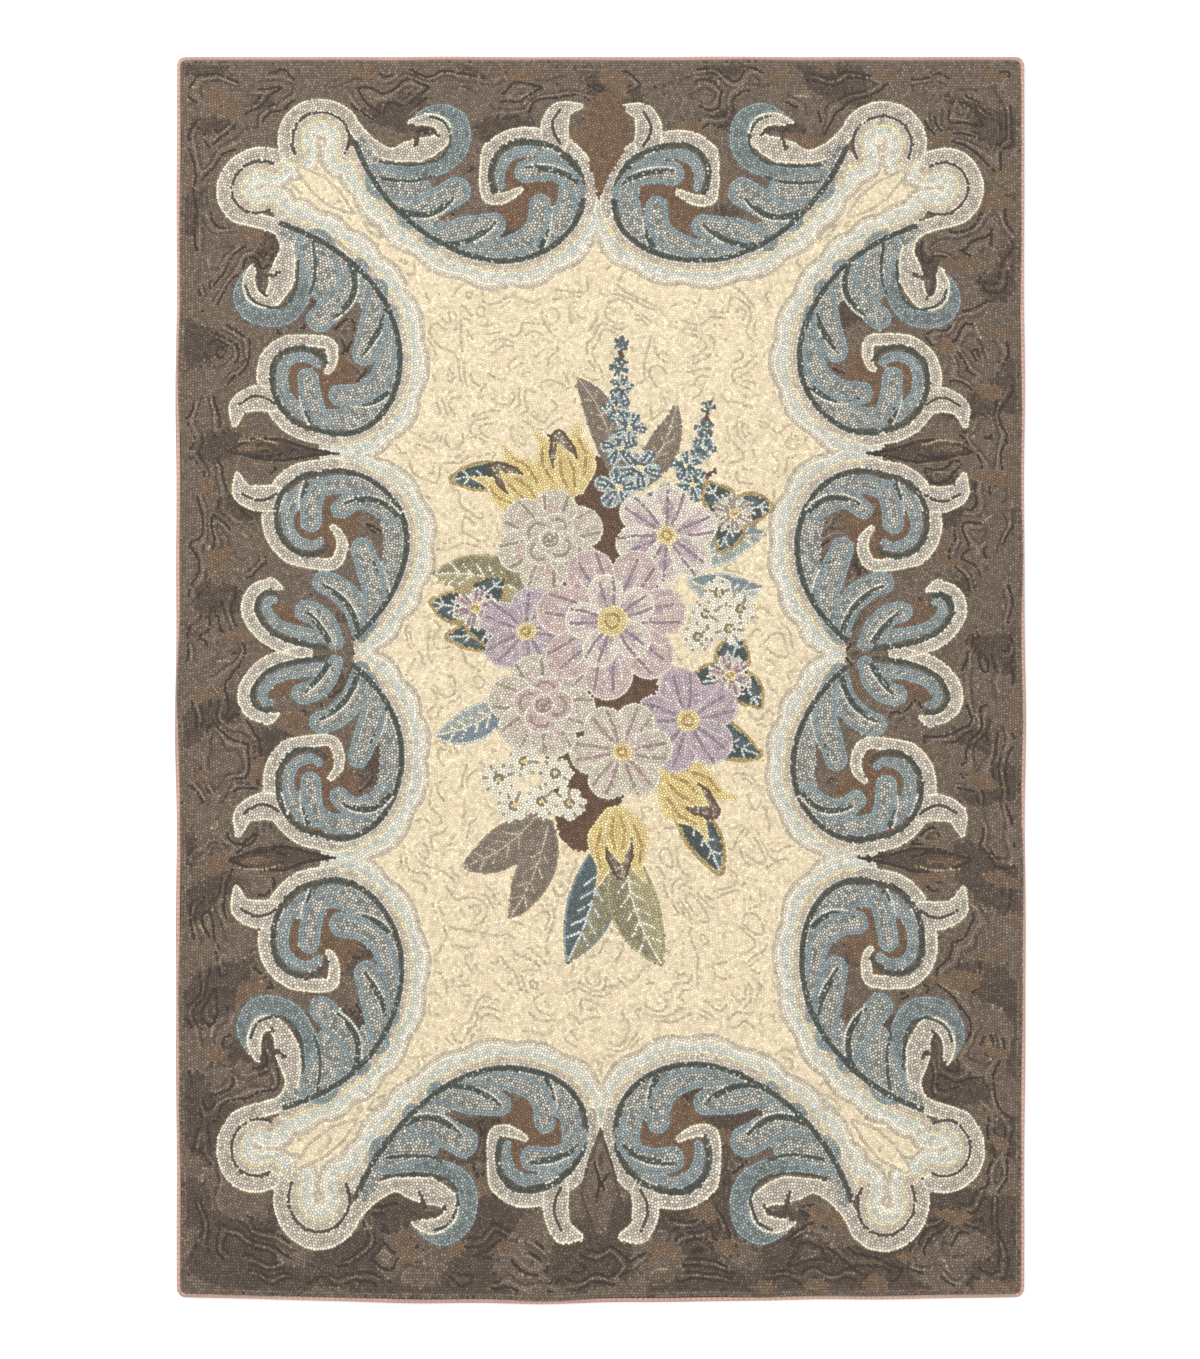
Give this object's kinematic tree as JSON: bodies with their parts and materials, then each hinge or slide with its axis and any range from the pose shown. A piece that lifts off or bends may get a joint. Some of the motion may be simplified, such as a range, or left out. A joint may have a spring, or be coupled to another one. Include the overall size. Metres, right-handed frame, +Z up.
{
  "type": "hooked rug",
  "caption": "Flat rectangular rug of looped wool pile on a cloth foundation, its edge bound with a folded cotton tape.",
  "frame": {"origin": "on the surface that the rug lies on, under the middle of its box", "axes": "+X across the rug's width, +Y along its length, +Z up out of the pile"},
  "size_m": [0.907, 1.3296, 0.0085],
  "materials": {
    "wool_pile": "matte looped wool, many yarns",
    "pink_cotton": "matte woven cotton tape, dusty pink"
  },
  "bodies": {
    "root": {"hooked_rug": "wool_pile", "binding_tape": "pink_cotton"}
  },
  "joints": []
}
